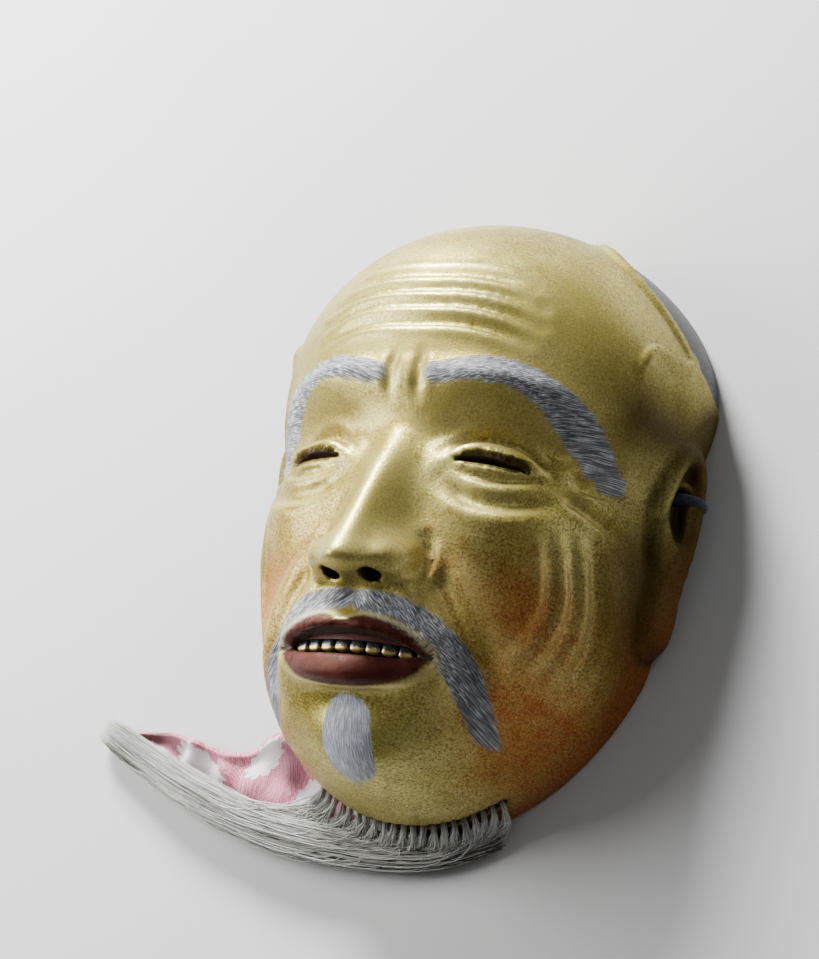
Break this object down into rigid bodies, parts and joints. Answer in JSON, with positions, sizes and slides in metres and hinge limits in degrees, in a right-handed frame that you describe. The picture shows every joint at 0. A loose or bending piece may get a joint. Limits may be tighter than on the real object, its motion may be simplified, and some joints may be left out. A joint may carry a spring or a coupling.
{
  "type": "noh mask",
  "caption": "Carved and gilded mask of an old man lying on its back, with pierced eyes, nostrils and mouth, a horsehair beard on a silk cloth, and ear cords coiled in its hollow.",
  "frame": {"origin": "middle of the open back, on the plane the rim stands on", "axes": "Z = 0 is the rim's rest plane and +Z leaves the face, +Y runs up to the crown, +X is at the mask's left ear"},
  "size_m": [0.2057, 0.2211, 0.0979],
  "materials": {
    "gilded_cypress": "satin olive gold over cypress, bare dark wood inside",
    "red_lacquer": "satin dark red",
    "black_lacquer": "satin black with gold on the tips",
    "bamboo": "split, unfinished",
    "horsehair": "grey-white hair",
    "silk_brocade": "pink figured silk",
    "silk_cord": "braided navy silk"
  },
  "bodies": {
    "root": {"mask_shell": "gilded_cypress", "upper_gum": "red_lacquer", "upper_teeth": "black_lacquer", "tuft_wedges": "bamboo", "beard_tuft_01": "horsehair", "beard_tuft_02": "horsehair", "beard_tuft_03": "horsehair", "beard_tuft_04": "horsehair", "beard_tuft_05": "horsehair", "beard_tuft_06": "horsehair", "beard_tuft_07": "horsehair", "beard_tuft_08": "horsehair", "beard_tuft_09": "horsehair", "beard_tuft_10": "horsehair", "beard_tuft_11": "horsehair", "beard_tuft_12": "horsehair", "beard_tuft_13": "horsehair", "beard_tuft_14": "horsehair", "beard_tuft_15": "horsehair", "beard_tuft_16": "horsehair", "beard_tuft_17": "horsehair", "beard_tuft_18": "horsehair", "beard_tuft_19": "horsehair", "beard_tuft_20": "horsehair", "beard_tuft_21": "horsehair", "beard_lock": "horsehair", "beard_cloth": "silk_brocade", "left_stop_knot": "silk_cord", "left_cord": "silk_cord", "left_cord_coil": "silk_cord", "left_end_knot": "silk_cord", "right_stop_knot": "silk_cord", "right_cord": "silk_cord", "right_cord_coil": "silk_cord", "right_end_knot": "silk_cord"}
  },
  "joints": []
}
